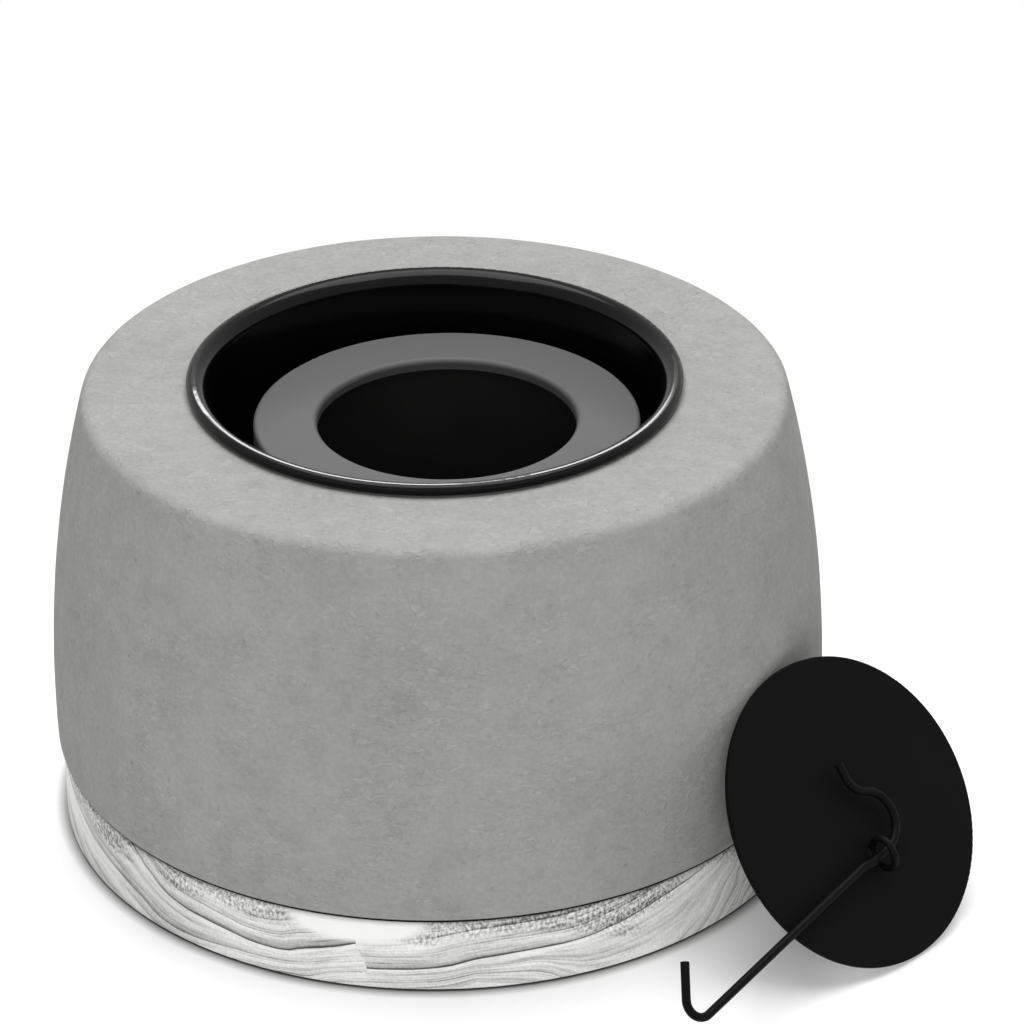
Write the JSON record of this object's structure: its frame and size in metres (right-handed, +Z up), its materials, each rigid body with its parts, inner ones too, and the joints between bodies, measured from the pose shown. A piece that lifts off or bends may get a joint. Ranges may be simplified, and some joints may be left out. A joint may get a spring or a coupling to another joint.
{
  "type": "tabletop fire pit",
  "caption": "Round concrete tabletop fire pit on a marble base, with a lift-out steel fire bowl and fuel can, and a flat snuffer lid leaning on it with its wire hook.",
  "frame": {"origin": "middle of the underside of the base pad, on the table", "axes": "+Z up along the axis of the bowl; -Y towards the camera of the picture, +X to its right, where the lid leans"},
  "size_m": [0.2345, 0.2317, 0.1216],
  "materials": {
    "pad_rubber": "matt foam rubber",
    "marble": "honed white with grey veins",
    "seam_foam": "black foam",
    "concrete": "cast, smooth, grey",
    "liner_steel": "black enamel, half gloss",
    "can_steel": "drawn steel, dull",
    "plate_steel": "satin grey",
    "lid_steel": "matt black coat",
    "wire_steel": "black coat, half gloss"
  },
  "bodies": {
    "pit": {"base_pad": "pad_rubber", "marble_base": "marble", "base_gasket": "seam_foam", "concrete_bowl": "concrete"},
    "liner": {"fire_bowl": "liner_steel"},
    "can": {"fuel_can": "can_steel", "burner_plate": "plate_steel"},
    "lid": {"snuffer_lid": "lid_steel", "lid_eye": "wire_steel"},
    "hook": {"lid_hook": "wire_steel"}
  },
  "joints": [
    {"name": "fire_bowl_lift", "type": "slide", "parent": "pit", "child": "liner", "axis": [0, 0, 1], "range_m": [0, 0.09]},
    {"name": "fuel_can_lift", "type": "slide", "parent": "liner", "child": "can", "axis": [0, 0, 1], "range_m": [0, 0.08]},
    {"name": "lid_lift", "type": "slide", "parent": "pit", "child": "lid", "axis": [0, 0, 1], "range_m": [0, 0.13]},
    {"name": "hook_swing", "type": "hinge", "parent": "lid", "child": "hook", "pos_m": [0.10932, -0.07622, 0.02415], "axis": [0.6429, 0.747, 0.1694], "range_deg": [0, 110]}
  ]
}
